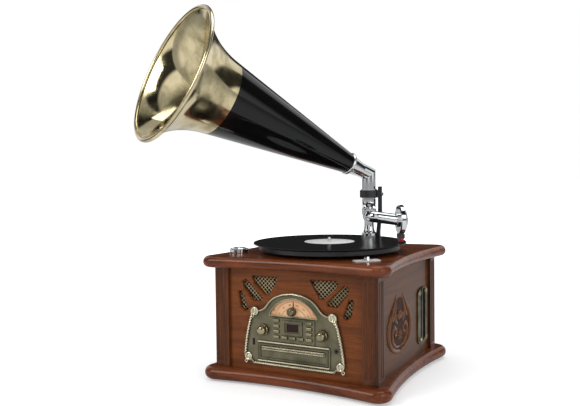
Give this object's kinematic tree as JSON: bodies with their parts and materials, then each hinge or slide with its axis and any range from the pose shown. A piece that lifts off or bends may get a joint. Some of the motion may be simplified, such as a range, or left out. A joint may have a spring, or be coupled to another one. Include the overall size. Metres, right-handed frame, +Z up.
{
  "type": "gramophone-style record player",
  "caption": "Wooden cabinet with turntable, tonearm, swivelling horn on a column, bronze radio fascia, disc tray and cassette slot.",
  "frame": {"origin": "centre of the cabinet's footprint, on the plane its feet rest on", "axes": "+X to the right seen from the front, -Y towards the front, +Z up"},
  "size_m": [0.5137, 0.5164, 0.7075],
  "materials": {
    "mahogany_board": "gloss",
    "mahogany_post": "gloss",
    "mahogany_panel": "gloss",
    "fibreboard": "matt",
    "rubber_black": "matt",
    "gilt_mesh": "satin",
    "speaker_black": "matt",
    "antique_bronze": "satin",
    "dial_amber": "satin",
    "pointer_dark": "gloss",
    "window_dark": "gloss",
    "knob_brass": "polished",
    "button_brass": "satin",
    "board_green": "satin",
    "jack_brass": "polished",
    "plastic_black": "satin",
    "sheet_steel": "satin",
    "mat_black": "matt",
    "platter_alloy": "satin",
    "vinyl_black": "gloss",
    "bearing_brass": "satin",
    "chrome_bright": "polished",
    "belt_rubber": "matt",
    "red_plastic": "gloss",
    "enamel_black": "gloss",
    "bell_brass": "polished"
  },
  "bodies": {
    "cabinet": {"base_board": "mahogany_board", "rubber_feet": "rubber_black", "corner_posts": "mahogany_post", "front_panel": "mahogany_panel", "left_panel": "mahogany_panel", "right_panel": "mahogany_panel", "back_panel": "fibreboard", "top_board": "mahogany_board", "speaker_meshes": "gilt_mesh", "speakers": "speaker_black", "fascia_plate": "antique_bronze", "dial_face": "dial_amber", "display_windows": "window_dark", "control_board": "board_green", "headphone_jack": "jack_brass", "cd_drive": "sheet_steel", "cassette_bezel": "antique_bronze", "cassette_mechanism": "plastic_black", "rear_fittings": "plastic_black", "screws": "chrome_bright", "main_board": "board_green", "spindle_bearing": "bearing_brass", "turntable_motor": "sheet_steel", "drive_belt": "belt_rubber", "record_adapter": "chrome_bright", "speed_plate": "platter_alloy", "arm_pedestal": "chrome_bright", "horn_bracket": "enamel_black"},
    "turntable": {"platter": "platter_alloy", "platter_mat": "mat_black", "record": "vinyl_black", "spindle": "chrome_bright"},
    "motor_rotor": {"motor_pulley": "bearing_brass"},
    "arm": {"arm_elbow": "chrome_bright", "tonearm_tube": "chrome_bright"},
    "head": {"gooseneck": "chrome_bright", "soundbox": "chrome_bright", "cartridge": "plastic_black", "stylus": "red_plastic"},
    "horn": {"horn_elbow": "chrome_bright", "horn_cone": "enamel_black", "horn_bell": "bell_brass"},
    "tuner": {"tuner_knob": "knob_brass"},
    "pointer": {"dial_pointer": "pointer_dark"},
    "volume": {"volume_knob": "knob_brass"},
    "function": {"function_knob": "knob_brass"},
    "disc_tray": {"cd_tray": "antique_bronze"},
    "eject_key": {"cassette_key": "knob_brass"},
    "speed_switch": {"speed_lever": "knob_brass"},
    "button_left_1_cap": {"button_left_1": "button_brass"},
    "button_left_2_cap": {"button_left_2": "button_brass"},
    "button_left_3_cap": {"button_left_3": "button_brass"},
    "button_left_4_cap": {"button_left_4": "button_brass"},
    "button_right_1_cap": {"button_right_1": "button_brass"},
    "button_right_2_cap": {"button_right_2": "button_brass"},
    "button_right_3_cap": {"button_right_3": "button_brass"},
    "button_right_4_cap": {"button_right_4": "button_brass"},
    "button_bottom_1_cap": {"button_bottom_1": "button_brass"},
    "button_bottom_2_cap": {"button_bottom_2": "button_brass"},
    "button_bottom_3_cap": {"button_bottom_3": "button_brass"}
  },
  "joints": [
    {"name": "platter_spin", "type": "hinge", "parent": "cabinet", "child": "turntable", "pos_m": [0.0085, -0.02, 0.245], "axis": [0, 0, 1], "continuous": true},
    {"name": "motor_spin", "type": "hinge", "parent": "cabinet", "child": "motor_rotor", "pos_m": [-0.061, 0.049, 0.23], "axis": [0, 0, 1], "continuous": true},
    {"name": "tonearm_swing", "type": "hinge", "parent": "cabinet", "child": "arm", "pos_m": [0.026, 0.148, 0.311], "axis": [0, 0, 1], "range_deg": [-30, 8]},
    {"name": "head_lift", "type": "hinge", "parent": "arm", "child": "head", "pos_m": [0.09013, -0.00955, 0.311], "axis": [0.377, -0.9262, 0], "range_deg": [0, 55]},
    {"name": "horn_swivel", "type": "hinge", "parent": "cabinet", "child": "horn", "pos_m": [0.026, 0.148, 0.347], "axis": [0, 0, 1], "range_deg": [-60, 60]},
    {"name": "tuner_turn", "type": "hinge", "parent": "cabinet", "child": "tuner", "pos_m": [0, -0.165, 0.144], "axis": [0, 1, 0], "range_deg": [-180, 180]},
    {"name": "pointer_turn", "type": "hinge", "parent": "cabinet", "child": "pointer", "pos_m": [0, -0.1612, 0.144], "axis": [0, 1, 0], "range_deg": [-60, 60]},
    {"name": "volume_turn", "type": "hinge", "parent": "cabinet", "child": "volume", "pos_m": [-0.0605, -0.165, 0.1055], "axis": [0, 1, 0], "range_deg": [-150, 150]},
    {"name": "function_turn", "type": "hinge", "parent": "cabinet", "child": "function", "pos_m": [0.0605, -0.165, 0.1055], "axis": [0, 1, 0], "range_deg": [-45, 45]},
    {"name": "button_left_1_press", "type": "slide", "parent": "cabinet", "child": "button_left_1_cap", "axis": [0, 1, 0], "range_m": [0, 0.001], "stiffness_N_per_m": 800},
    {"name": "button_left_2_press", "type": "slide", "parent": "cabinet", "child": "button_left_2_cap", "axis": [0, 1, 0], "range_m": [0, 0.001], "stiffness_N_per_m": 800},
    {"name": "button_left_3_press", "type": "slide", "parent": "cabinet", "child": "button_left_3_cap", "axis": [0, 1, 0], "range_m": [0, 0.001], "stiffness_N_per_m": 800},
    {"name": "button_left_4_press", "type": "slide", "parent": "cabinet", "child": "button_left_4_cap", "axis": [0, 1, 0], "range_m": [0, 0.001], "stiffness_N_per_m": 800},
    {"name": "button_right_1_press", "type": "slide", "parent": "cabinet", "child": "button_right_1_cap", "axis": [0, 1, 0], "range_m": [0, 0.001], "stiffness_N_per_m": 800},
    {"name": "button_right_2_press", "type": "slide", "parent": "cabinet", "child": "button_right_2_cap", "axis": [0, 1, 0], "range_m": [0, 0.001], "stiffness_N_per_m": 800},
    {"name": "button_right_3_press", "type": "slide", "parent": "cabinet", "child": "button_right_3_cap", "axis": [0, 1, 0], "range_m": [0, 0.001], "stiffness_N_per_m": 800},
    {"name": "button_right_4_press", "type": "slide", "parent": "cabinet", "child": "button_right_4_cap", "axis": [0, 1, 0], "range_m": [0, 0.001], "stiffness_N_per_m": 800},
    {"name": "button_bottom_1_press", "type": "slide", "parent": "cabinet", "child": "button_bottom_1_cap", "axis": [0, 1, 0], "range_m": [0, 0.001], "stiffness_N_per_m": 800},
    {"name": "button_bottom_2_press", "type": "slide", "parent": "cabinet", "child": "button_bottom_2_cap", "axis": [0, 1, 0], "range_m": [0, 0.001], "stiffness_N_per_m": 800},
    {"name": "button_bottom_3_press", "type": "slide", "parent": "cabinet", "child": "button_bottom_3_cap", "axis": [0, 1, 0], "range_m": [0, 0.001], "stiffness_N_per_m": 800},
    {"name": "disc_tray_slide", "type": "slide", "parent": "cabinet", "child": "disc_tray", "axis": [0, -1, 0], "range_m": [0, 0.13]},
    {"name": "eject_key_press", "type": "slide", "parent": "cabinet", "child": "eject_key", "axis": [-1, 0, 0], "range_m": [0, 0.0025], "stiffness_N_per_m": 800},
    {"name": "speed_lever_slide", "type": "slide", "parent": "cabinet", "child": "speed_switch", "axis": [0.7071, 0.7071, 0], "range_m": [-0.007, 0.007]}
  ],
  "couplings": [
    {"joint": "motor_spin", "follows": "platter_spin", "ratio": 10.254},
    {"joint": "pointer_turn", "follows": "tuner_turn", "ratio": 0.33333}
  ]
}
